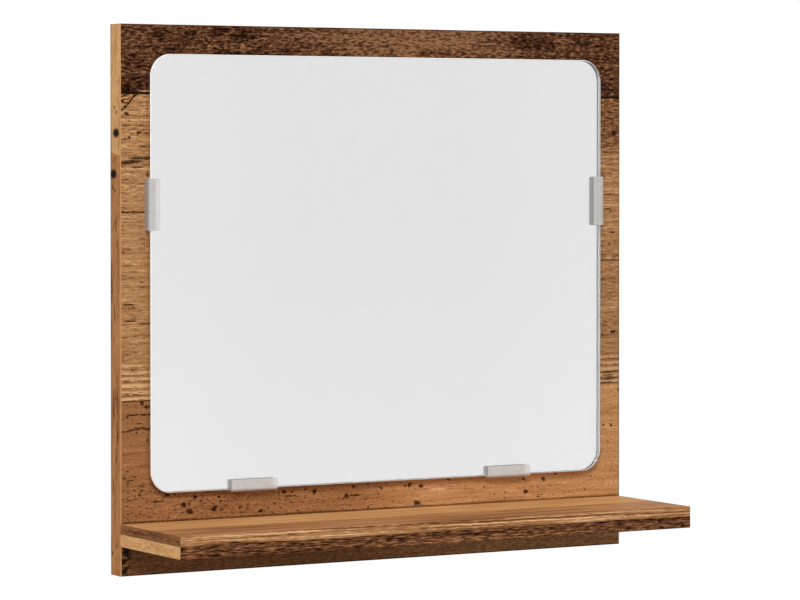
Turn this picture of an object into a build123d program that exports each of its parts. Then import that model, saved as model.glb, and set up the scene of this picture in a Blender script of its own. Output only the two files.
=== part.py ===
"""Bathroom wall mirror: a printed back board with a shelf across its foot and a pane held in four clips.

The viewer stands at -Y. The wall plane is Y = 0, +Z is up, and the origin is the middle of the back face.
"""
from build123d import *
import os

# Driving dimensions of the two boards, in millimetres
BOARD_WIDTH = 400
BOARD_HEIGHT = 370
BOARD_THICKNESS = 15
SHELF_DEPTH = 90
SHELF_TOP_ABOVE_FOOT = 35
EDGE_BAND = 0.8
EDGE_BAND_ARRIS = 0.3

# Pane: glass with a silvered and painted back
PANE_WIDTH = 360
PANE_HEIGHT = 295
PANE_TOP_MARGIN = 20
PANE_CORNER_RADIUS = 15
GLASS_THICKNESS = 3.8
GLASS_ARRIS = 0.5
SILVERING_THICKNESS = 0.2

# Clip: a moulded channel with its leg behind the pane and its lip in front of it
CLIP_LENGTH = 35
CLIP_WALL = 1.5
CLIP_LEG = 15
CLIP_LEG_CORNER = 3
CLIP_LIP = 6.7
CLIP_LIP_TIP = 1.3
CLIP_LIP_CORNER = 1.2
CLIP_LIP_EDGE = 0.3
CLIP_NOSE_RADIUS = 1.4
PANE_FACE_PLAY = 0.1
PANE_SIDE_PLAY = 0.3
SIDE_CLIP_HEIGHT = 64
BOTTOM_CLIP_OFFSET = 102

# Countersunk screws: core diameter, head diameter and length
CLIP_SCREW = (2.6, 5.6, 13)
HANGER_SCREW = (3.0, 6.0, 13)
SHELF_SCREW = (4.0, 8.0, 45)
CLIP_SCREW_FROM_WEB = 8
SHELF_SCREW_OFFSETS = (-140, 140)

# Dowels between the board and the shelf
DOWEL_DIAMETER = 8
DOWEL_LENGTH = 30
DOWEL_IN_BOARD = 10
DOWEL_CHAMFER = 1
DOWEL_OFFSETS = (-70, 70)

# Keyhole hangers let into the back of the board
HANGER_SPACING = 300
HANGER_BELOW_TOP = 35
HANGER_HEIGHT = 45
HANGER_WIDTH = 16
HANGER_THICKNESS = 1.5
HANGER_PLAY = 0.2
HANGER_SCREW_PITCH = 34
KEYHOLE_ENTRY = 9
KEYHOLE_SLOT = 5
KEYHOLE_TRAVEL = 9
HEAD_POCKET_WIDTH = 11.5
HEAD_POCKET_DEPTH = 8

# Places that follow from the driving dimensions
BOARD_FRONT = -BOARD_THICKNESS
BOARD_SIDE = BOARD_WIDTH / 2
BOARD_TOP = BOARD_HEIGHT / 2
SHELF_FRONT = BOARD_FRONT - SHELF_DEPTH
SHELF_TOP = SHELF_TOP_ABOVE_FOOT - BOARD_TOP
SHELF_UNDERSIDE = SHELF_TOP - BOARD_THICKNESS
SHELF_MIDDLE = (SHELF_TOP + SHELF_UNDERSIDE) / 2
PANE_MIDDLE = BOARD_TOP - PANE_TOP_MARGIN - PANE_HEIGHT / 2
PANE_BOTTOM = PANE_MIDDLE - PANE_HEIGHT / 2
PANE_BACK = BOARD_FRONT - CLIP_WALL - PANE_FACE_PLAY
CHANNEL = GLASS_THICKNESS + SILVERING_THICKNESS + 2 * PANE_FACE_PLAY
HANGER_MIDDLE = BOARD_TOP - HANGER_BELOW_TOP

# Screws and dowels are modelled pointing down, then aimed at the board from either side
FROM_FRONT = Rot(90, 0, 0)
FROM_BACK = Rot(-90, 0, 0)


def block(x_range, y_range, z_range):
    """A rectangular solid between two corners."""
    size = [high - low for low, high in (x_range, y_range, z_range)]
    corner = Pos(x_range[0], y_range[0], z_range[0])
    return corner * Box(*size, align=(Align.MIN, Align.MIN, Align.MIN))


def screw(core, head, length):
    """A screw with its flat countersunk head at Z = 0. Its core fills the pilot hole, and its thread is left out."""
    neck = (head - core) / 2
    half_section = Polygon((0, 0), (head / 2, 0), (core / 2, -neck), (core / 2, -length), (0, -length))
    return revolve(Plane.XZ * half_section, Axis.Z)


def along_wall(outline, depth):
    """An outline drawn as seen from the back of the board, from Y = 0 to so far in front of it."""
    return extrude(Plane.XZ * outline, amount=depth)


def upright_slot(width, height):
    return SlotOverall(height, width, rotation=90)


# Edge bands

def edge_band(x_range, y_range, z_range, outwards):
    """A glued strip, with the two long arrises of its outer face eased."""
    strip = block(x_range, y_range, z_range)
    outer = strip.faces().sort_by(Axis((0, 0, 0), outwards))[-1]
    return chamfer(outer.edges().sort_by(SortBy.LENGTH)[-2:], EDGE_BAND_ARRIS)


def board_bands():
    """Top and bottom strips first, then the two side strips, which cover their ends."""
    depth = (BOARD_FRONT, 0)
    across = (EDGE_BAND - BOARD_SIDE, BOARD_SIDE - EDGE_BAND)
    upright = (-BOARD_TOP, BOARD_TOP)
    low, high = (0, EDGE_BAND), (-EDGE_BAND, 0)
    return {
        "edge_band_top": edge_band(across, depth, [BOARD_TOP + z for z in high], (0, 0, 1)),
        "edge_band_bottom": edge_band(across, depth, [z - BOARD_TOP for z in low], (0, 0, -1)),
        "edge_band_left": edge_band([x - BOARD_SIDE for x in low], depth, upright, (-1, 0, 0)),
        "edge_band_right": edge_band([BOARD_SIDE + x for x in high], depth, upright, (1, 0, 0)),
    }


def shelf_bands():
    """The two end strips first, then the front strip, which covers their ends."""
    height = (SHELF_UNDERSIDE, SHELF_TOP)
    depth = (SHELF_FRONT + EDGE_BAND, BOARD_FRONT)
    front = (SHELF_FRONT, SHELF_FRONT + EDGE_BAND)
    left = (-BOARD_SIDE, EDGE_BAND - BOARD_SIDE)
    right = (BOARD_SIDE - EDGE_BAND, BOARD_SIDE)
    return {
        "shelf_band_left": edge_band(left, depth, height, (-1, 0, 0)),
        "shelf_band_right": edge_band(right, depth, height, (1, 0, 0)),
        "shelf_band_front": edge_band((-BOARD_SIDE, BOARD_SIDE), front, height, (0, -1, 0)),
    }


# Pane

def pane_plate(back, thickness, inset=0):
    """A plate with the pane's rounded outline, from the plane Y = back forwards."""
    size = (PANE_WIDTH - 2 * inset, PANE_HEIGHT - 2 * inset)
    outline = RectangleRounded(*size, PANE_CORNER_RADIUS - inset)
    return Pos(0, back, PANE_MIDDLE) * along_wall(outline, thickness)


def mirror_silvering():
    """Silver and back paint, which stop short of the ground arris."""
    return pane_plate(PANE_BACK, SILVERING_THICKNESS, GLASS_ARRIS)


def mirror_glass():
    """Float glass with rounded corners, its edge ground and eased on both faces."""
    glass = pane_plate(PANE_BACK - SILVERING_THICKNESS, GLASS_THICKNESS)
    front, *_, back = glass.faces().sort_by(Axis.Y)
    return chamfer(front.edges() + back.edges(), GLASS_ARRIS)


# Clips

def clip_section():
    """Section of the channel: leg on Y = 0, inner face of the web on X = 0, lip with a rounded nose."""
    lip_back = -CLIP_WALL - CHANNEL
    front = lip_back - CLIP_WALL
    section = Polygon(
        (-CLIP_LEG, 0),
        (CLIP_WALL, 0),
        (CLIP_WALL, front),
        (-CLIP_LIP, lip_back - CLIP_LIP_TIP),
        (-CLIP_LIP, lip_back),
        (0, lip_back),
        (0, -CLIP_WALL),
        (-CLIP_LEG, -CLIP_WALL),
    )
    nose = section.vertices().sort_by_distance((CLIP_WALL, front))[0]
    return fillet(nose, CLIP_NOSE_RADIUS)


def clip():
    """The clip along Z, open towards the pane at -X, with its front towards -Y."""
    body = extrude(clip_section(), amount=CLIP_LENGTH / 2, both=True)
    body = fillet(body.edges().filter_by(Axis.Y).group_by(Axis.X)[1], CLIP_LIP_CORNER)
    body = fillet(body.edges().filter_by(Axis.Y).group_by(Axis.X)[0], CLIP_LEG_CORNER)
    lip_front = body.faces().sort_by(Axis.Y)[0]
    body = chamfer(lip_front.edges().sort_by(Axis.X)[:-1], CLIP_LIP_EDGE)
    lip_back = body.faces().filter_by(Axis.Y).sort_by(Axis.Y)[0]
    body = chamfer(lip_back.edges().sort_by(Axis.X)[:-1], CLIP_LIP_EDGE)
    return body - clip_screw_place() * screw(*CLIP_SCREW)


def clip_screw_place():
    """Head of a clip's screw, flush with the front of its leg, in the clip's own axes."""
    return Pos(-CLIP_SCREW_FROM_WEB, -CLIP_WALL, 0) * FROM_FRONT


def clip_places():
    """Two clips at the sides with a little play, and two below, on whose webs the pane rests."""
    reach = PANE_WIDTH / 2 + PANE_SIDE_PLAY
    return {
        "clip_left": Pos(-reach, BOARD_FRONT, SIDE_CLIP_HEIGHT) * Rot(0, 180, 0),
        "clip_right": Pos(reach, BOARD_FRONT, SIDE_CLIP_HEIGHT),
        "clip_bottom_left": Pos(-BOTTOM_CLIP_OFFSET, BOARD_FRONT, PANE_BOTTOM) * Rot(0, 90, 0),
        "clip_bottom_right": Pos(BOTTOM_CLIP_OFFSET, BOARD_FRONT, PANE_BOTTOM) * Rot(0, 90, 0),
    }


# Keyhole hangers

def hanger_places():
    return {
        "hanger_left": Pos(-HANGER_SPACING / 2, 0, HANGER_MIDDLE),
        "hanger_right": Pos(HANGER_SPACING / 2, 0, HANGER_MIDDLE),
    }


def hanger_screw_places():
    """Heads of a hanger's two screws, flush with its back, in the plate's own axes."""
    return [Pos(0, 0, z) * FROM_BACK for z in (-HANGER_SCREW_PITCH / 2, HANGER_SCREW_PITCH / 2)]


def keyhole():
    """Round entry for the head of a wall screw, with a slot that rises from it for the shank."""
    entry = Pos(0, -KEYHOLE_TRAVEL / 2) * Circle(KEYHOLE_ENTRY / 2)
    return entry + upright_slot(KEYHOLE_SLOT, KEYHOLE_TRAVEL + KEYHOLE_SLOT)


def hanger():
    """A stamped steel plate with a keyhole and two countersunk holes."""
    outline = upright_slot(HANGER_WIDTH, HANGER_HEIGHT) - keyhole()
    plate = along_wall(outline, HANGER_THICKNESS)
    return plate - [at * screw(*HANGER_SCREW) for at in hanger_screw_places()]


def hanger_recess():
    """A shallow bed for the plate, and behind its keyhole a pocket for the head of the wall screw."""
    play = 2 * HANGER_PLAY
    bed = upright_slot(HANGER_WIDTH + play, HANGER_HEIGHT + play)
    pocket = upright_slot(HEAD_POCKET_WIDTH, KEYHOLE_TRAVEL + HEAD_POCKET_WIDTH)
    return along_wall(bed, HANGER_THICKNESS) + along_wall(pocket, HEAD_POCKET_DEPTH)


# Joint between the board and the shelf

def shelf_screw_places():
    return [Pos(x, 0, SHELF_MIDDLE) * FROM_BACK for x in SHELF_SCREW_OFFSETS]


def dowel_places():
    """Rear ends of the dowels, which lie along the depth of the shelf."""
    return [Pos(x, BOARD_FRONT + DOWEL_IN_BOARD, SHELF_MIDDLE) * FROM_BACK for x in DOWEL_OFFSETS]


def dowel_hole():
    return Cylinder(DOWEL_DIAMETER / 2, DOWEL_LENGTH, align=(Align.CENTER, Align.CENTER, Align.MAX))


def dowel():
    """A beech dowel with chamfered ends, glued into the board and the shelf."""
    rod = dowel_hole()
    return chamfer(rod.edges().filter_by(GeomType.CIRCLE), DOWEL_CHAMFER)


# Boards

def back_board():
    """Chipboard core, bored and routed for everything that is fixed to it."""
    side, top = BOARD_SIDE - EDGE_BAND, BOARD_TOP - EDGE_BAND
    board = block((-side, side), (BOARD_FRONT, 0), (-top, top))
    cuts = [place * hanger_recess() for place in hanger_places().values()]
    cuts += [at * screw(*HANGER_SCREW) for at in on_each(hanger_places(), hanger_screw_places())]
    cuts += [at * screw(*CLIP_SCREW) for at in on_each(clip_places(), [clip_screw_place()])]
    cuts += [at * screw(*SHELF_SCREW) for at in shelf_screw_places()]
    cuts += [at * dowel_hole() for at in dowel_places()]
    return board - cuts


def shelf_board():
    """Chipboard core of the shelf. Its rear edge is bare and bored for the dowels and screws."""
    side = BOARD_SIDE - EDGE_BAND
    board = block((-side, side), (SHELF_FRONT + EDGE_BAND, BOARD_FRONT), (SHELF_UNDERSIDE, SHELF_TOP))
    cuts = [at * screw(*SHELF_SCREW) for at in shelf_screw_places()]
    cuts += [at * dowel_hole() for at in dowel_places()]
    return board - cuts


def on_each(pieces, places):
    """Places given in a piece's own axes, carried to every one of those pieces."""
    return [piece * place for piece in pieces.values() for place in places]


def group(places, piece):
    """Like pieces that share one name."""
    return Compound([place * piece for place in places])


def all_pieces():
    pieces = {"back_board": back_board(), "shelf_board": shelf_board()}
    pieces |= board_bands() | shelf_bands()
    pieces |= {"mirror_glass": mirror_glass(), "mirror_silvering": mirror_silvering()}
    pieces |= {name: place * clip() for name, place in clip_places().items()}
    pieces |= {name: place * hanger() for name, place in hanger_places().items()}
    pieces["clip_screws"] = group(on_each(clip_places(), [clip_screw_place()]), screw(*CLIP_SCREW))
    pieces["hanger_screws"] = group(on_each(hanger_places(), hanger_screw_places()), screw(*HANGER_SCREW))
    pieces["shelf_screws"] = group(shelf_screw_places(), screw(*SHELF_SCREW))
    pieces["shelf_dowels"] = group(dowel_places(), dowel())
    return pieces


os.makedirs("parts", exist_ok=True)
for name, piece in all_pieces().items():
    export_step(piece, f"parts/{name}.step")
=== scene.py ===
import math

import bmesh
import bpy
from mathutils import Matrix, Vector


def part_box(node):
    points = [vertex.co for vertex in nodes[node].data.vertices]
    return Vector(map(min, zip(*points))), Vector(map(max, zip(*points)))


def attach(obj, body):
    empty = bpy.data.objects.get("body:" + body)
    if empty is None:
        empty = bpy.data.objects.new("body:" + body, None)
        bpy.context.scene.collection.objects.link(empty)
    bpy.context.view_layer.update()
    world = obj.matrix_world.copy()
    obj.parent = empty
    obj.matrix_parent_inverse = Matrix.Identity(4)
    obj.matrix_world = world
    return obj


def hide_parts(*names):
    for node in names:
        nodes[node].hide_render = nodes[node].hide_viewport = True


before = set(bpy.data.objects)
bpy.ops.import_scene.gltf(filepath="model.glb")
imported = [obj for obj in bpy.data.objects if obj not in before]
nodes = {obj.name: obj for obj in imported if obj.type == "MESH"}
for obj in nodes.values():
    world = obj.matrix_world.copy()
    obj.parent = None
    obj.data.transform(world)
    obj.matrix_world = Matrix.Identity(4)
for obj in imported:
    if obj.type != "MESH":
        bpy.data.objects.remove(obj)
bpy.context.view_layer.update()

# Back board
# A panel of chipboard between two sheets of printed foil. The print shows three old planks laid across it:
# a dark worn one at the top, a pale one in the middle and a pitted orange one at the foot.
# Hangers, screws and dowels are let into it, so bare chips show in its recesses.

MILLIMETRES = 1000
FRONT, BACK = [corner.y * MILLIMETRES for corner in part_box("back_board")]
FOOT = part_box("edge_band_bottom")[0].z
TOP_SEAM, LOW_SEAM = 323, 117.3
SHELF_UNDERSIDE, SHELF_TOP = [(corner.z - FOOT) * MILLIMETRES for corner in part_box("shelf_board")]


class Tone:
    """A socket of a shader, with which a finish is worked out like any other number."""

    def __init__(self, tree, socket):
        self.tree = tree
        self.socket = socket

    def node(self, kind, settings, sockets, output=0):
        """A node of any kind: its settings first, then the values or links of its sockets."""
        made = self.tree.nodes.new(kind)
        for name, value in settings.items():
            setattr(made, name, value)
        for name, value in sockets.items():
            if isinstance(value, Tone):
                self.tree.links.new(value.socket, made.inputs[name])
            else:
                made.inputs[name].default_value = value
        return Tone(self.tree, made.outputs[output]) if made.outputs else None

    def maths(self, operation, *values):
        return self.node("ShaderNodeMath", {"operation": operation}, dict(enumerate(values)))

    def __add__(self, other):
        return self.maths("ADD", self, other)

    def __sub__(self, other):
        return self.maths("SUBTRACT", self, other)

    def __rsub__(self, other):
        return self.maths("SUBTRACT", other, self)

    def __mul__(self, other):
        return self.maths("MULTIPLY", self, other)

    def beside(self, name):
        """Another output of the node that this one comes from."""
        return Tone(self.tree, self.socket.node.outputs[name])

    def __or__(self, other):
        """The stronger of two marks."""
        return self.maths("MAXIMUM", self, other)

    def __and__(self, other):
        """The weaker of two marks."""
        return self.maths("MINIMUM", self, other)

    def __abs__(self):
        return self.maths("ABSOLUTE", self)


def paint(red, green, blue):
    """A colour in levels from 0 to 255, as the linear colour that light mixes in."""
    shades = [c / 255 for c in (red, green, blue)]
    return (*[c / 12.92 if c < 0.04045 else ((c + 0.055) / 1.055) ** 2.4 for c in shades], 1)


SOOT = paint(26, 12, 5)


def start_finish(name):
    """An empty material, and the place of each point of the piece in the frame."""
    material = bpy.data.materials.new(name)
    material.use_nodes = True
    material.node_tree.nodes.clear()
    places = material.node_tree.nodes.new("ShaderNodeTexCoord")
    return material, Tone(material.node_tree, places.outputs["Object"])


def end_finish(place, bump=None, depth=0.0001, **sockets):
    """The surface's shader, with a relief of that depth in metres where one is given."""
    sockets = {name.replace("_", " "): value for name, value in sockets.items()}
    if bump is not None:
        sockets["Normal"] = place.node(
            "ShaderNodeBump", {}, {"Height": bump, "Distance": depth, "Strength": 1})
    shader = place.node("ShaderNodeBsdfPrincipled", {}, sockets)
    place.node("ShaderNodeOutputMaterial", {}, {"Surface": shader})


def rise(value, low, high):
    """0 below low, 1 above high and an even curve between. With low above high it falls instead."""
    return value.node("ShaderNodeMapRange", {"interpolation_type": "SMOOTHSTEP"}, {
        "Value": value, "From Min": min(low, high), "From Max": max(low, high),
        "To Min": float(low > high), "To Max": float(low < high)})


def mix(share, first, second):
    """Two colours, the second laid over the first by a share."""
    return share.node("ShaderNodeMix", {"data_type": "RGBA", "clamp_factor": True},
                      {0: share, 6: first, 7: second}, output=2)


def axes(place):
    """The three coordinates of a place, in millimetres."""
    scaled = place.node("ShaderNodeVectorMath", {"operation": "SCALE"}, {0: place, "Scale": MILLIMETRES})
    return [place.node("ShaderNodeSeparateXYZ", {}, {0: scaled}, output=i) for i in range(3)]


def across_of(flat):
    """How far across a sheet of print a place on it lies."""
    return flat.node("ShaderNodeSeparateXYZ", {}, {0: flat}, output=1)


def sheet(along, across):
    """A place on a flat sheet of print."""
    return along.node("ShaderNodeCombineXYZ", {}, {0: along, 1: across, 2: 0.0})


def cloud(flat, stretch, shift=0, detail=3, rough=0.5, output=0):
    """Soft random patches. Stretch is how many there are to a millimetre, along and across."""
    spot = flat.node("ShaderNodeMapping", {}, {
        "Vector": flat, "Location": (shift, shift, 0), "Scale": (*stretch, 1)})
    return spot.node("ShaderNodeTexNoise", {"noise_dimensions": "2D"}, {
        "Vector": spot, "Scale": 1, "Detail": detail, "Roughness": rough}, output)


def shaken(flat, reach, stretch, shift=0):
    """The same place, moved a little at random, so that what is drawn there gets a torn outline."""
    noise = cloud(flat, stretch, shift, 4, 0.65, output=1)
    centred = noise.node("ShaderNodeVectorMath", {"operation": "SUBTRACT"}, {0: noise, 1: (0.5, 0.5, 0.5)})
    return centred.node("ShaderNodeVectorMath", {"operation": "MULTIPLY_ADD"},
                        {0: centred, 1: (*reach, 0), 2: flat})


def marks(flat, longer, sizes):
    """Spots at given places. For each half height in millimetres it has the centres of the spots of that
    size, and all of them are longer than high by the same number of times."""
    squeezed = flat.node("ShaderNodeVectorMath", {"operation": "MULTIPLY"}, {0: flat, 1: (1 / longer, 1, 0)})
    drawn = None
    for half, centres in sizes.items():
        nearest = None
        for along, across in centres:
            away = squeezed.node("ShaderNodeVectorMath", {"operation": "DISTANCE"},
                                 {0: squeezed, 1: (along / longer, across, 0)}, output=1)
            nearest = away if nearest is None else nearest & away
        spots = rise(nearest, half * 1.4, half * 0.6)
        drawn = spots if drawn is None else drawn | spots
    return drawn


def specks(flat, stretch, share, size):
    """Specks strewn at random, in a share of the cells of a loose grid, and up to a size in cells."""
    spot = flat.node("ShaderNodeMapping", {}, {"Vector": flat, "Scale": (*stretch, 1)})
    away = spot.node("ShaderNodeTexVoronoi", {"voronoi_dimensions": "2D"}, {"Vector": spot, "Scale": 1})
    lots = away.node("ShaderNodeSeparateColor", {}, {0: away.beside("Color")})
    chosen = lots.maths("LESS_THAN", lots, share)
    return rise(away + lots.beside("Green") * size * 0.6, size, size * 0.65) * chosen


def three_tones(depth, dark, middle, light):
    """A print in three inks: the pores, the wood between them and its ridges."""
    lower = mix(rise(depth, 0.34, 0.50), paint(*dark), paint(*middle))
    return mix(rise(depth, 0.50, 0.66), lower, paint(*light))


# Cracks run along the grain, pits are short, and stains are soft. Their places, across the board and above
# its foot, were picked on a picture, turned into millimetres by a program and then rounded. So were
# those of the marks on the edge bands and on the front of the shelf, further down.
CRACKS = {
    0.35: [(-198, 247), (-192, 180), (-189, 161), (-186, 102), (-193, 64), (-11, 43),
           (132, 39), (190, 309), (190, 289), (188, 284), (190, 243), (193, 226),
           (190, 152), (-180, 297), (-195, 302), (-183, 288), (-196, 266), (-184, 226),
           (-194, 219)],
    0.6: [(-187, 274), (-196, 244), (-189, 244), (-182, 244), (-194, 182), (-193, 171),
          (-182, 169), (-191, 108), (-182, 108), (-173, 49), (-71, 48), (-20, 46),
          (190, 123), (190, 125), (190, 120), (186, 206), (192, 206), (196, 206),
          (-196, 97), (-190, 98), (-185, 99), (-179, 98)],
    1.0: [(-196, 277), (-190, 278), (-185, 280), (-179, 280)],
}
PITS = {
    0.8: [(-193, 294), (-197, 66), (-184, 60), (-186, 54), (-110, 42), (-59, 52),
          (-126, 50), (1, 50), (118, 51), (-21, 52), (195, 190), (199, 112),
          (191, 218), (186, 87), (193, 87), (-160, 56), (-170, 59), (-188, 96)],
    1.3: [(-195, 310), (-186, 297), (-179, 269), (-165, 53), (-144, 51), (-52, 50),
          (-27, 46), (24, 51), (33, 50), (120, 42), (135, 50), (194, 154),
          (-76, 51), (-94, 39), (-181, 113), (-184, 116)],
    1.7: [(-153, 46), (-148, 41), (-130, 42), (30, 38), (195, 298)],
}
STAINS = {
    3.6: [(-160, 352), (-76, 350), (-40, 352), (-24, 350), (-9, 354), (5, 352),
          (36, 352), (52, 353), (66, 352), (84, 351), (190, 329), (-190, 345),
          (-170, 364), (-150, 363), (-128, 365), (-108, 362), (165, 363)],
    5.5: [(-120, 350), (-95, 350), (-186, 330), (-196, 327), (118, 363), (134, 362)],
}
SCRATCHES = {
    0.4: [(-182, 325), (-175, 325), (-168, 325), (195, 172), (-190, 256), (-188, 209),
          (190, 208)],
    0.9: [(47, 47)],
}


class Grain:
    """The random patterns that the planks printed on one sheet have in common."""

    def __init__(self, flat):
        self.flat = flat
        self.uneven = shaken(flat, (3.0, 1.6), (0.07, 0.22), 6.1)
        self.torn = shaken(flat, (2.0, 1.3), (0.35, 0.80), 11.3)
        self.wavy = across_of(shaken(flat, (0, 1.2), (0.03, 0.05), 2.2))
        self.grit = cloud(flat, (0.75, 1.3), 0.4, 3, 0.7)
        self.fibre = cloud(self.uneven, (0.16, 1.15), 1.9, 4, 0.65)
        self.streak = cloud(self.uneven, (0.020, 0.34), 7.7, 3, 0.6)
        self.crust = cloud(self.torn, (0.24, 0.70), 5.2, 3, 0.6)


def dark_plank(along, grain):
    """Worn nearly black in its open grain, and a little cleaner right of its middle."""
    stains = marks(shaken(grain.flat, (12, 5), (0.08, 0.14), 4.9), 2, STAINS)
    clean = rise(along, -110, 20) * rise(along, 130, 60) * 0.06
    bare = grain.crust * 0.42 + grain.grit * 0.20 + grain.fibre * 0.20 + grain.streak * 0.18
    worn = bare + clean - stains * 0.045
    return three_tones((worn - 0.5) * 1.75 + 0.485, (26, 9, 3), (86, 53, 32), (142, 100, 70))


def pale_plank(along, across, notch, grain):
    """Fine grain, coarser towards its upper edge, with ripples at its lower edge and a browner stretch high
    on its right. A corner is broken off at the left, where a mottled piece shows."""
    brown = rise(along, 60, 170) * (rise(across, 268, 298) * 0.85 | rise(across, 246, 200) * 0.25)
    coarse = rise(across, 230, 290) * 0.35 + 0.75
    ripple = across.node("ShaderNodeMath", {"operation": "SINE"}, {0: grain.wavy * 1.42 + grain.fibre * 5})
    fine = (grain.grit * 0.22 + grain.fibre * 0.44 + grain.streak * 0.34 - 0.5) * coarse
    fine = fine + (ripple * 0.11 + 0.03) * rise(across, 146, 132)
    flecks = rise(cloud(grain.uneven, (0.13, 0.62), 1.3, 3, 0.6), 0.60, 0.72) * 0.12
    pale = three_tones(fine * 1.2 + 0.505 - flecks, (92, 52, 26), (165, 119, 77), (210, 164, 118))
    aged = (grain.crust * 0.5 + grain.fibre * 0.5 - 0.5) * 1.6 + 0.5
    old = three_tones(aged, (40, 17, 7), (104, 63, 38), (156, 108, 70))
    mottled = three_tones((grain.crust - 0.5) * 1.9 + 0.52, (44, 19, 7), (132, 86, 52), (180, 132, 88))
    return mix(rise(notch, TOP_SEAM - 0.8, TOP_SEAM + 0.8), mix(brown, pale, old), mottled)


def orange_plank(along, across, facing_shelf, grain):
    """Reddish and pitted to the left, cleaner and lighter to the right. Below the shelf it is darkened by
    blotchy painted shade, with a coal black margin on the left."""
    plain = (grain.grit * 0.36 + grain.fibre * 0.30 + grain.streak * 0.34 - 0.5) * 0.9 + 0.5
    red = three_tones(plain, (112, 66, 32), (148, 100, 62), (178, 129, 85))
    pure = three_tones(plain, (140, 92, 52), (181, 130, 84), (212, 162, 114))
    colour = mix(rise(along, -50, 60), red, pure)
    pitted = rise(along, 60, -140) * rise(across, 74, 54) * 0.25
    eaten = shaken(grain.flat, (3.4, 2.2), (0.30, 0.45), 3.7)
    worms = rise(cloud(eaten, (0.34, 0.80), 2.7, 3, 0.7) + pitted * 0.30, 0.61, 0.70) * 0.8
    pits = worms | specks(eaten, (0.20, 0.30), pitted + 0.06, 0.30)
    colour = mix(pits * rise(across, 19, 22) * 0.85, colour, paint(50, 23, 9))
    # Painted shade: the face below the shelf is darkened in soft blotches, standing in for the shadow of the
    # shelf.
    painted_shade_under_shelf = rise(across, SHELF_UNDERSIDE + 1, SHELF_UNDERSIDE - 1)
    blotchy_shade_strength = rise(grain.crust, 0.56, 0.42) * 0.30 + 0.28
    colour = mix(painted_shade_under_shelf * blotchy_shade_strength * facing_shelf, colour, paint(40, 22, 14))
    burnt = rise(along, -189, -196) * rise(across, 21, 18)
    burnt = burnt * rise(cloud(grain.flat, (0.2, 0.3), 4.5), 0.40, 0.52)
    return mix(burnt * facing_shelf * 0.95, colour, SOOT)


def black_marks(along, notch, facing_shelf, grain):
    """Soot in the cracks, the pits, the seams and the broken edge, and painted shade in the corner along the
    shelf top.
    """
    broken, ragged = rise(grain.grit, 0.30, 0.46), rise(grain.grit, 0.22, 0.36)
    cracks = marks(grain.torn, 8, CRACKS) * broken
    pits = marks(shaken(grain.flat, (4.2, 4.2), (0.35, 0.5), 9.1), 1.4, PITS) * ragged
    low_seam = rise(abs(grain.wavy - LOW_SEAM), 0.8, 0.3) * 0.8
    seams = rise(abs(grain.wavy - TOP_SEAM - 0.6), 1.2, 0.6) | low_seam
    edge = rise(abs(notch - TOP_SEAM), 1.4, 0.3) * rise(along, -183, -188) * broken
    # Painted shade: a broken dark line in the corner where the shelf top meets the face.
    painted_shade_at_shelf_top = rise(abs(grain.wavy - SHELF_TOP - 0.4), 1.5, 0.5) * facing_shelf * 0.7
    return ((cracks | pits) * 0.92) | (seams * 0.95) | (edge | painted_shade_at_shelf_top * broken)


def plank_print(along, across, facing_shelf):
    """The three printed planks, for a face whose foot is at across = 0, and their relief. Painted shade below
    the shelf and along its top lies only where the face is towards the shelf."""
    grain = Grain(sheet(along, across))
    notch = grain.wavy + rise(along, -186, -199) * 10.5
    middle = pale_plank(along, across, notch, grain)
    foot = orange_plank(along, across, facing_shelf, grain)
    is_top = rise(grain.wavy, TOP_SEAM - 0.3, TOP_SEAM + 0.3)
    is_foot = rise(grain.wavy, LOW_SEAM + 0.3, LOW_SEAM - 0.3)
    colour = mix(is_foot, mix(is_top, middle, dark_plank(along, grain)), foot)
    colour = mix(marks(grain.torn, 8, SCRATCHES) * 0.6, colour, paint(224, 176, 128))
    colour = mix(black_marks(along, notch, facing_shelf, grain), colour, SOOT)
    return colour, grain.fibre * 0.7 + grain.crust * 0.3


def chipboard(place):
    """Bare chips in resin, for bores and recesses."""
    chips = place.node("ShaderNodeTexVoronoi", {}, {"Vector": place, "Scale": 700, "Randomness": 1}, output=1)
    tint = chips.node("ShaderNodeSeparateColor", {}, {0: chips})
    return mix(tint, paint(150, 112, 70), paint(214, 182, 135))


def board_finish():
    material, place = start_finish("printed_board")
    x, y, z = axes(place)
    colour, relief = plank_print(x, z - FOOT * MILLIMETRES, rise(y, FRONT + 6, FRONT + 5))
    bare = rise(y, FRONT, FRONT + 0.1) * rise(y, BACK, BACK - 0.1)
    end_finish(place, relief, 0.00003, Base_Color=mix(bare, colour, chipboard(place)), Roughness=0.55,
               Specular_IOR_Level=0.03)
    return material


def give(material, *names):
    """A finish for pieces of the frame that keep their own shape."""
    for name in names:
        nodes[name].data.materials.clear()
        nodes[name].data.materials.append(material)


give(board_finish(), "back_board")

# Edge bands of the board
# Plastic strips with a print of their own, glued round the panel and scraped flush. The grain of the two
# side strips runs upright, with two dark knots near the top of each.

KNOTS = {3.1: [(9, 297), (5, 269.5)]}
STREAKS = {
    0.7: [(118, 8), (205, 2), (220, 11.5), (236, 8.5), (166, 2), (129.5, 11), (176, 6.5),
          (80.5, 8.5), (60, 4), (18, 1)],
    1.2: [(194, 2), (116, 10.5), (114, 5), (95.5, 10.5)],
}
SMUDGES = {1.0: [(314, 6.5), (311, 9.5), (260.5, 4), (258.5, 7.5), (20, 9), (14.5, 3), (60.5, 4)]}


def strip_grain(flat, dark, middle, light, shift=0):
    """Grain that runs the length of a strip."""
    fibre = cloud(flat, (0.14, 0.8), 3.3 + shift, 4, 0.7)
    band = cloud(flat, (0.020, 0.20), 6.1 + shift, 3, 0.5)
    return three_tones(fibre * 0.6 + band * 0.4, dark, middle, light)


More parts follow.
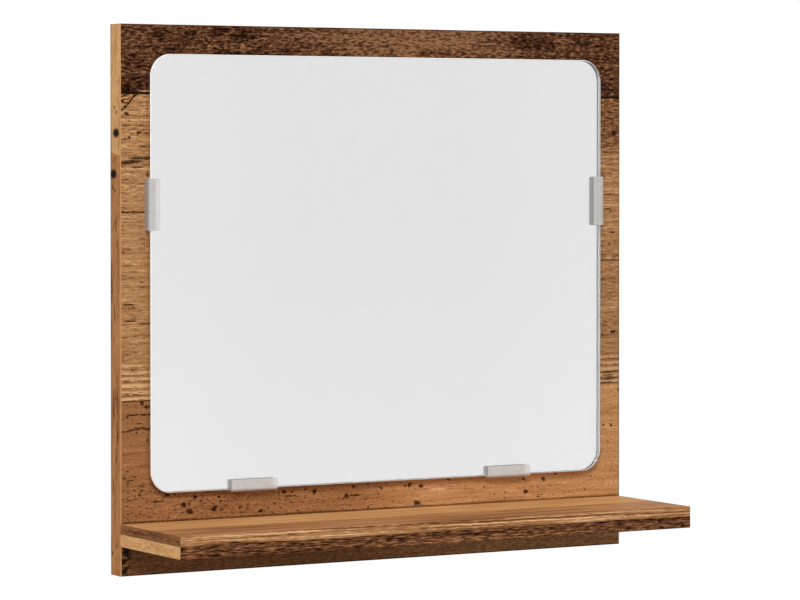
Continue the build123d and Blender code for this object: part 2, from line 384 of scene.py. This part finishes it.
def side_band_finish(name, painted_arris_shading):
    """The print of an upright strip, browner below and towards the wall. Its scraped front edge shows as a
    thin line of painted light round the front of the board: a painted highlight on the left strip, painted
    shade on the right."""
    material, place = start_finish(name)
    y, z = axes(place)[1:]
    depth, height = 0 - y, z - FOOT * MILLIMETRES
    upright = sheet(height, depth)
    light = strip_grain(upright, (172, 120, 68), (208, 158, 104), (232, 184, 134), 1.7)
    brown = strip_grain(upright, (140, 86, 46), (178, 121, 74), (196, 142, 92))
    torn = shaken(upright, (2.0, 1.2), (0.30, 0.60), 5.5)
    colour = mix(rise(height + depth * 0.15, 283, 285), brown, light)
    colour = mix(rise(depth, 5, 0) * 0.20, colour, paint(60, 32, 14))
    slant = rise(abs(height - depth - 229), 1.3, 0.5) * 0.45
    colour = mix(slant, colour, paint(60, 26, 10))
    dark = marks(torn, 9, STREAKS) * 0.8 | marks(torn, 1.4, SMUDGES) * 0.85
    dark = dark * rise(cloud(upright, (0.5, 0.9), 2.1, 3, 0.7), 0.32, 0.50)
    dark = dark | marks(shaken(sheet(depth, height), (0.8, 0.8), (0.4, 0.4), 8), 1.5, KNOTS)
    colour = mix(dark, colour, SOOT)
    # Painted light: the front edge of the strip gets a thin line in the colour passed in, light on the left
    # strip and dark on the right.
    colour = mix(rise(y, FRONT + 0.25, FRONT + 0.1), colour, painted_arris_shading)
    end_finish(place, cloud(upright, (0.04, 0.9), 3.3, 2, 0.6), 0.00003, Base_Color=colour, Roughness=0.5,
               Specular_IOR_Level=0.02)
    return material


def level_band_finish():
    """The print of the strips along the top and the foot."""
    material, place = start_finish("level_edge_band")
    x, y = axes(place)[:2]
    flat = sheet(x, 0 - y)
    colour = strip_grain(flat, (60, 32, 16), (112, 70, 42), (160, 112, 74), 4.2)
    pits = rise(cloud(flat, (0.15, 0.5), 8.8, 3, 0.6), 0.64, 0.72)
    colour = mix((pits * 0.8) | rise(y, FRONT + 0.25, FRONT + 0.1) * 0.6, colour, paint(40, 20, 9))
    end_finish(place, cloud(flat, (0.04, 0.9), 4.2, 2, 0.6), 0.00003, Base_Color=colour, Roughness=0.5,
               Specular_IOR_Level=0.02)
    return material


# The left strip's front edge has a painted highlight, the right strip's front edge painted shade.
give(side_band_finish("left_edge_band_painted_highlight", paint(184, 136, 92)), "edge_band_left")
give(side_band_finish("right_edge_band_painted_shade", paint(70, 42, 24)), "edge_band_right")
give(level_band_finish(), "edge_band_top", "edge_band_bottom")

# Shelf
# A second panel of printed chipboard, screwed and dowelled to the first from behind. Its top shows one
# light strip at the back and a redder one in front; its front band is ridged above and cracked below.

SHELF_STRIPS = 60
BAND_SPLIT = 28.3
FRONT_CRACKS = {
    0.35: [(-188, 27), (-180, 26.5), (-172, 25), (-164, 25), (-158, 24), (-149, 24.5),
           (-112, 25), (-104, 25.5), (-90, 25.5), (-60, 24), (-28, 24.5), (18, 26),
           (40, 25.5), (62, 26), (88, 25), (-120, 24.5), (-44, 25), (-8, 25.5), (120, 25.5)],
    0.6: [(-175, 21.5), (-168, 20), (-161, 29.5), (186, 23)],
}
FRONT_SPOTS = {1.2: [(174, 26), (193.5, 22)]}


def shelf_finish():
    """Printed top and underside, with the grain along the shelf."""
    material, place = start_finish("printed_shelf")
    x, y, z = axes(place)
    flat = sheet(x, 0 - y)
    swayed = shaken(flat, (0, 10), (0.005, 0.01), 2.5)
    forward = across_of(swayed)
    fibre = cloud(flat, (0.010, 0.22), 5.2, 4, 0.55)
    streak = cloud(swayed, (0.006, 0.11), 9.4, 2, 0.5)
    fine = cloud(flat, (0.03, 0.90), 3.1, 3, 0.6)
    depth = rise(fibre * 0.30 + streak * 0.25 + fine * 0.45, 0.38, 0.62)
    light = mix(depth, paint(188, 132, 80), paint(222, 168, 112))
    red = mix(depth, paint(134, 80, 46), paint(200, 142, 92))
    top = mix(rise(forward, SHELF_STRIPS - 4, SHELF_STRIPS + 4), light, red)
    below = strip_grain(flat, (98, 58, 32), (148, 100, 64), (180, 130, 90), 2.6)
    shelf_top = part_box("shelf_board")[1].z * MILLIMETRES
    colour = mix(rise(z, shelf_top - 8, shelf_top - 6), below, top)
    end_finish(place, fibre, 0.00003, Base_Color=colour, Roughness=0.5, Specular_IOR_Level=0.02)
    return material


def shelf_front_finish():
    """A pale ridged plank above a dark cracked one."""
    material, place = start_finish("shelf_front_band")
    x, z = axes(place)[::2]
    flat = sheet(x, z - FOOT * MILLIMETRES)
    swayed = shaken(flat, (0, 1.6), (0.02, 0.06), 7.1)
    level = across_of(swayed)
    ridge = cloud(swayed, (0.007, 0.70), 1.4, 3, 0.55)
    fleck = cloud(swayed, (0.12, 0.95), 3.6, 4, 0.65)
    grain = (ridge * 0.66 + fleck * 0.34 - 0.5) * 1.2 + 0.49
    upper = three_tones(grain, (104, 62, 32), (166, 118, 76), (224, 178, 130))
    worn = (ridge * 0.3 + fleck * 0.7 - 0.5) * 1.3 + 0.49
    lower = three_tones(worn, (32, 13, 5), (100, 62, 38), (158, 108, 70))
    colour = mix(rise(level, BAND_SPLIT - 0.2, BAND_SPLIT + 0.2), lower, upper)
    dark = marks(shaken(flat, (2, 0.9), (0.2, 0.5), 3), 9, FRONT_CRACKS) * 0.88
    dark = dark | marks(shaken(flat, (2, 1.5), (0.4, 0.5), 6), 1.5, FRONT_SPOTS) * 0.9
    dark = dark | rise(abs(level - BAND_SPLIT), 0.5, 0.2) * 0.45
    colour = mix(dark, colour, SOOT)
    end_finish(place, ridge, 0.00004, Base_Color=colour, Roughness=0.5, Specular_IOR_Level=0.02)
    return material


def shelf_end_finish():
    """The same two planks, seen at the ends of the shelf with their tones changed over."""
    material, place = start_finish("shelf_end_band")
    y, z = axes(place)[1:]
    height = z - FOOT * MILLIMETRES
    flat = sheet(0 - y, height)
    upper = strip_grain(flat, (78, 42, 20), (132, 84, 50), (160, 112, 74), 5.9)
    lower = strip_grain(flat, (172, 120, 70), (210, 158, 104), (232, 184, 132), 7.3)
    split = abs(height - BAND_SPLIT - 0.4)
    colour = mix(rise(height, BAND_SPLIT + 0.1, BAND_SPLIT + 0.7), lower, upper)
    colour = mix(rise(split, 0.5, 0.2) * 0.5, colour, SOOT)
    end_finish(place, cloud(flat, (0.05, 0.9), 5.9, 2, 0.6), 0.00003, Base_Color=colour, Roughness=0.5,
               Specular_IOR_Level=0.02)
    return material


give(shelf_finish(), "shelf_board")
give(shelf_front_finish(), "shelf_band_front")
give(shelf_end_finish(), "shelf_band_left", "shelf_band_right")

# Mirror
# A pane of float glass with ground and polished edges, silvered on its back and sealed with grey paint.
# It stands in the clips, so it lifts out upwards.

HAIR = 0.00002
COAT_CORNER = 0.0145
CORNER_STEPS = 12
coat_low, coat_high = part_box("mirror_silvering")


def glass_finish():
    """Clear on its two faces, with the same edge all round: polished bright, between two ground arrises."""
    material, place = start_finish("float_glass")
    facing = place.node("ShaderNodeTexCoord", {}, {}, output=1)
    flatness = abs(facing.node("ShaderNodeSeparateXYZ", {}, {0: facing}, output=1))
    wheel_marks = place.node("ShaderNodeTexNoise", {}, {"Vector": place, "Scale": 900, "Detail": 2})
    clear = place.node("ShaderNodeBsdfPrincipled", {}, {
        "Base Color": (1, 1, 1, 1), "Roughness": 0.0, "IOR": 1.52, "Transmission Weight": 1.0})
    edge = place.node("ShaderNodeBsdfPrincipled", {}, {
        "Base Color": mix(wheel_marks, paint(232, 233, 232), paint(242, 243, 242)),
        "Metallic": rise(flatness, 0.5, 0.3),
        "Roughness": wheel_marks * 0.10 + rise(flatness, 0.3, 0.5) * 0.3})
    whole = flatness.node("ShaderNodeMixShader", {}, {0: rise(flatness, 0.98, 0.90), 1: clear, 2: edge})
    place.node("ShaderNodeOutputMaterial", {}, {"Surface": whole})
    return material


def silver_finish():
    """Bright towards the glass, with a painted reflection that is a little darker high in the middle, and
    grey paint behind.
    """
    material, place = start_finish("silvering")
    x, y, z = axes(place)
    front = coat_low.y * MILLIMETRES
    behind = rise(y, front + 0.09, front + 0.15)
    # Painted reflection: the silver is made darker high in the middle and lighter towards the foot and the
    # sides.
    painted_reflection_drift = rise(z, 60, -140) * 0.5 + rise(abs(x), 60, 190) * 0.35
    silver = mix(painted_reflection_drift, paint(224, 224, 224), paint(233, 233, 233))
    speckle = place.node("ShaderNodeTexNoise", {}, {"Vector": place, "Scale": 600, "Detail": 3})
    seal = mix(speckle, paint(104, 106, 108), paint(122, 124, 126))
    end_finish(place, Base_Color=mix(behind, silver, seal), Metallic=1 - behind, Roughness=behind * 0.6)
    return material


def coat_outline():
    """The rounded outline of the coat, as places across and up."""
    outline = []
    for quarter, (x, z) in enumerate(((1, 1), (0, 1), (0, 0), (1, 0))):
        middle_x = (coat_low.x + COAT_CORNER, coat_high.x - COAT_CORNER)[x]
        middle_z = (coat_low.z + COAT_CORNER, coat_high.z - COAT_CORNER)[z]
        for step in range(CORNER_STEPS + 1):
            angle = (quarter + step / CORNER_STEPS) * math.pi / 2
            across, up = COAT_CORNER * math.cos(angle), COAT_CORNER * math.sin(angle)
            outline.append((middle_x + across, middle_z + up))
    return outline


def add_piece(name, mesh, finish):
    """The mesh as a piece of the scene, with its faces turned outwards."""
    bmesh.ops.recalc_face_normals(mesh, faces=mesh.faces)
    data = bpy.data.meshes.new(name)
    mesh.to_mesh(data)
    mesh.free()
    data.materials.append(finish)
    piece = bpy.data.objects.new(name, data)
    bpy.context.scene.collection.objects.link(piece)
    return piece


def silver_coat(name, finish):
    """The coat as a thin closed sheet, a hair's breadth behind the glass."""
    outline = coat_outline()
    mesh = bmesh.new()
    front = [mesh.verts.new((x, coat_low.y + HAIR, z)) for x, z in outline]
    back = [mesh.verts.new((x, coat_high.y, z)) for x, z in outline]
    mesh.faces.new(front)
    mesh.faces.new(list(reversed(back)))
    for here, after in zip(range(len(outline)), [*range(1, len(outline)), 0]):
        mesh.faces.new((front[after], front[here], back[here], back[after]))
    piece = add_piece(name, mesh, finish)
    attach(piece, "pane")
    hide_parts("mirror_silvering")


give(glass_finish(), "mirror_glass")
silver_coat("silver_coat", silver_finish())

# Clips
# Four channels moulded in milky plastic. A screw through the leg behind the pane holds each to the board,
# and the lip in front keeps the pane in.


def clip_finish():
    """Plastic that lets half of what lies behind each of its walls through."""
    material, place = start_finish("milky_plastic")
    haze = place.node("ShaderNodeTexNoise", {}, {"Vector": place, "Scale": 220, "Detail": 3})
    end_finish(place, Base_Color=mix(haze, paint(212, 209, 205), paint(222, 219, 215)),
               Roughness=haze * 0.15 + 0.30, Alpha=haze * 0.08 + 0.43)
    return material


give(clip_finish(), "clip_left", "clip_right", "clip_bottom_left", "clip_bottom_right")

# Screws
# Countersunk chipboard screws of zinc plated steel with a cross recess and a pointed, rolled thread: one in
# each clip, two in each hanger and two long ones through the board into the shelf.

SIDES = 24
CROSS = [(1.0, -0.3), (1.0, 0.0), (1.0, 0.3), (0.65, 0.3), (0.3, 0.3), (0.3, 0.65)]
CLIP_HEAD_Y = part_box("clip_screws")[0].y
CLIP_SCREW_INWARD = 0.0095
HANGER_SCREW_RISE = 0.017
SHELF_SCREW_SIDE = 0.140

# The core, head, length and pitch of each kind of screw, in millimetres
CLIP_SCREW = (2.6, 5.6, 13, 1.3)
HANGER_SCREW = (3.0, 6.0, 13, 1.4)
SHELF_SCREW = (4.0, 8.0, 45, 2.0)


def steel_finish():
    """Bright zinc with a faint crystal pattern."""
    material, place = start_finish("zinc_steel")
    crystals = place.node(
        "ShaderNodeTexVoronoi", {}, {"Vector": place, "Scale": 500, "Randomness": 1}, output=1)
    tint = crystals.node("ShaderNodeSeparateColor", {}, {0: crystals})
    grey = mix(tint, paint(168, 171, 176), paint(204, 206, 209))
    end_finish(place, tint, 0.000004, Base_Color=grey, Metallic=1.0, Roughness=tint * 0.18 + 0.26)
    return material


def screw_rings(core, head, length, pitch):
    """Rings of points down the screw, from the rim of its head to just above its point."""
    neck, tip = (head - core) / 2, core * 1.1
    rings = [[(head / 2, 0.0)] * SIDES, [(head / 2, head * 0.04)] * SIDES]
    rings.append([(core / 2, neck + head * 0.04)] * SIDES)
    start, steps = neck + head * 0.1, 5
    count = int((length - start) / pitch * steps)
    for row in range(count):
        depth = start + row * pitch / steps
        fade = min(1.0, (length - depth) / tip)
        ring = []
        for side in range(SIDES):
            turn = (depth / pitch - side / SIDES) % 1
            ridge = max(0.0, 1 - abs(turn - 0.5) / 0.22)
            ring.append(((core / 2 + ridge * core * 0.16) * max(fade, 0.08), depth))
        rings.append(ring)
    return rings


def add_screw(mesh, sizes, place, towards):
    """One screw, with the middle of its head at a place."""
    core, head, length, pitch = sizes
    frame_turn = Vector(towards).to_track_quat("Z", "X").to_matrix().to_4x4()
    placed = Matrix.Translation(place) @ frame_turn

    def point(radius, depth, angle):
        return mesh.verts.new(placed @ Vector((radius * math.cos(angle), radius * math.sin(angle), depth)))

    step = math.tau / SIDES
    rings = [[point(radius, depth, side * step) for side, (radius, depth) in enumerate(ring)]
             for ring in screw_rings(core, head, length, pitch)]
    recess = []
    for share, depth in ((1.0, 0.0), (0.55, head * 0.3)):
        arm = head * 0.32 * share
        outline = []
        for quarter in range(4):
            turn = Matrix.Rotation(quarter * math.pi / 2, 2)
            for across, up in CROSS:
                flat = turn @ Vector((across * arm, up * arm))
                outline.append(mesh.verts.new(placed @ Vector((flat.x, flat.y, depth))))
        recess.append(outline[1:] + outline[:1])
    point_end = mesh.verts.new(placed @ Vector((0, 0, length)))
    loops = [recess[1], recess[0], *rings]
    for upper, lower in zip(loops, loops[1:]):
        for side in range(SIDES):
            after = (side + 1) % SIDES
            mesh.faces.new((upper[side], upper[after], lower[after], lower[side]))
    for side in range(SIDES):
        mesh.faces.new((rings[-1][side], rings[-1][(side + 1) % SIDES], point_end))
    mesh.faces.new(list(reversed(recess[1])))


def screws(name, node, sizes, places, towards, finish):
    """A set of like screws as one piece, in the room of the plain ones of the frame."""
    mesh = bmesh.new()
    for place in places:
        add_screw(mesh, [size / MILLIMETRES for size in sizes], place, towards)
    piece = add_piece(name, mesh, finish)
    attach(piece, "board")
    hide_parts(node)


def middle(node):
    low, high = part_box(node)
    return (low + high) / 2


zinc = steel_finish()
clip_places = []
for clip, side in (("clip_left", 0), ("clip_right", 1)):
    inward = CLIP_SCREW_INWARD * (1 - 2 * side)
    clip_places.append(Vector((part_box(clip)[side].x + inward, CLIP_HEAD_Y, middle(clip).z)))
for clip in ("clip_bottom_left", "clip_bottom_right"):
    clip_places.append(Vector((middle(clip).x, CLIP_HEAD_Y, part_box(clip)[0].z + CLIP_SCREW_INWARD)))
hanger_places = []
for hanger in ("hanger_left", "hanger_right"):
    for up in (-HANGER_SCREW_RISE, HANGER_SCREW_RISE):
        hanger_places.append(Vector((middle(hanger).x, 0, middle(hanger).z + up)))
shelf_places = [Vector((side * SHELF_SCREW_SIDE, 0, middle("shelf_board").z)) for side in (-1, 1)]
screws("clip_screw_set", "clip_screws", CLIP_SCREW, clip_places, (0, 1, 0), zinc)
screws("hanger_screw_set", "hanger_screws", HANGER_SCREW, hanger_places, (0, -1, 0), zinc)
screws("shelf_screw_set", "shelf_screws", SHELF_SCREW, shelf_places, (0, -1, 0), zinc)

# Hangers
# Two pressed steel keyhole plates, zinc plated, let flush into the back of the board. They keep the frame's
# own shape and share the zinc of the screws.

give(zinc, "hanger_left", "hanger_right")

# Dowels
# Turned beech pegs, glued half in the board and half in the shelf, so nothing shows of them from outside.


def beech_finish():
    material, place = start_finish("beech")
    x, y, z = axes(place)
    pores = cloud(sheet(y, z + x), (0.08, 1.2), 2.0, 3, 0.6)
    end_finish(place, pores, 0.00005, Base_Color=mix(pores, paint(196, 150, 104), paint(224, 184, 140)),
               Roughness=0.6)
    return material


give(beech_finish(), "shelf_dowels")

# Studio
# A pale floor well below the hung object, an even white surround that is darker underneath, and one soft
# lamp in front and above.

FLOOR_DROP, FLOOR_REACH = 1.2, 4.0


def floor_finish():
    material, place = start_finish("pale_floor")
    grain = place.node("ShaderNodeTexNoise", {}, {"Vector": place, "Scale": 3, "Detail": 2})
    end_finish(place, Base_Color=mix(grain, paint(196, 195, 193), paint(206, 205, 203)), Roughness=0.8)
    return material


floor_mesh = bpy.data.meshes.new("floor")
corners = [(x * FLOOR_REACH, y * FLOOR_REACH, FOOT - FLOOR_DROP)
           for x, y in ((-1, -1), (1, -1), (1, 1), (-1, 1))]
floor_mesh.from_pydata(corners, [], [(0, 1, 2, 3)])
floor_mesh.materials.append(floor_finish())
floor = bpy.data.objects.new("floor", floor_mesh)
bpy.context.scene.collection.objects.link(floor)

surround = bpy.data.worlds.new("studio")
surround.use_nodes = True
surround.node_tree.nodes.clear()
towards = Tone(surround.node_tree, surround.node_tree.nodes.new("ShaderNodeTexCoord").outputs["Generated"])
height_of = towards.node("ShaderNodeSeparateXYZ", {}, {0: towards}, output=2)
glow = rise(height_of, -0.26, -0.13) * (rise(height_of, 0.45, 0.15) * 0.64 + 0.12) + 0.26
backdrop = glow.node("ShaderNodeBackground", {}, {"Color": (1, 1, 1, 1), "Strength": glow})
backdrop.node("ShaderNodeOutputWorld", {}, {"Surface": backdrop})
bpy.context.scene.world = surround

LAMP_WIDTH, LAMP_HEIGHT, LAMP_WATTS = 1.6, 1.2, 10
LAMP_PLACE, LAMP_SPREAD = (-1.5, -2.6, 2.2), math.radians(50)
lamp_data = bpy.data.lights.new("softbox", "AREA")
lamp_data.shape, lamp_data.spread, lamp_data.energy = "RECTANGLE", LAMP_SPREAD, LAMP_WATTS
lamp_data.size, lamp_data.size_y = LAMP_WIDTH, LAMP_HEIGHT
lamp = bpy.data.objects.new("softbox", lamp_data)
lamp.location = LAMP_PLACE
lamp.rotation_euler = (Vector((0, 0, 0)) - lamp.location).to_track_quat("-Z", "Y").to_euler()
bpy.context.scene.collection.objects.link(lamp)

LENS, SHIFT_UP = 160.74, -0.1007
CAMERA_PLACE = (-1.2360, -2.1716, 0.1000)
CAMERA_YAW, CAMERA_PITCH = math.radians(30.141), math.radians(1.1)
camera_data = bpy.data.cameras.new("camera")
camera_data.lens, camera_data.shift_y = LENS, SHIFT_UP
camera = bpy.data.objects.new("camera", camera_data)
camera.location = CAMERA_PLACE
camera.rotation_euler = (math.pi / 2 - CAMERA_PITCH, 0, -CAMERA_YAW)
bpy.context.scene.collection.objects.link(camera)
bpy.context.scene.camera = camera
bpy.context.scene.view_settings.view_transform = "Standard"
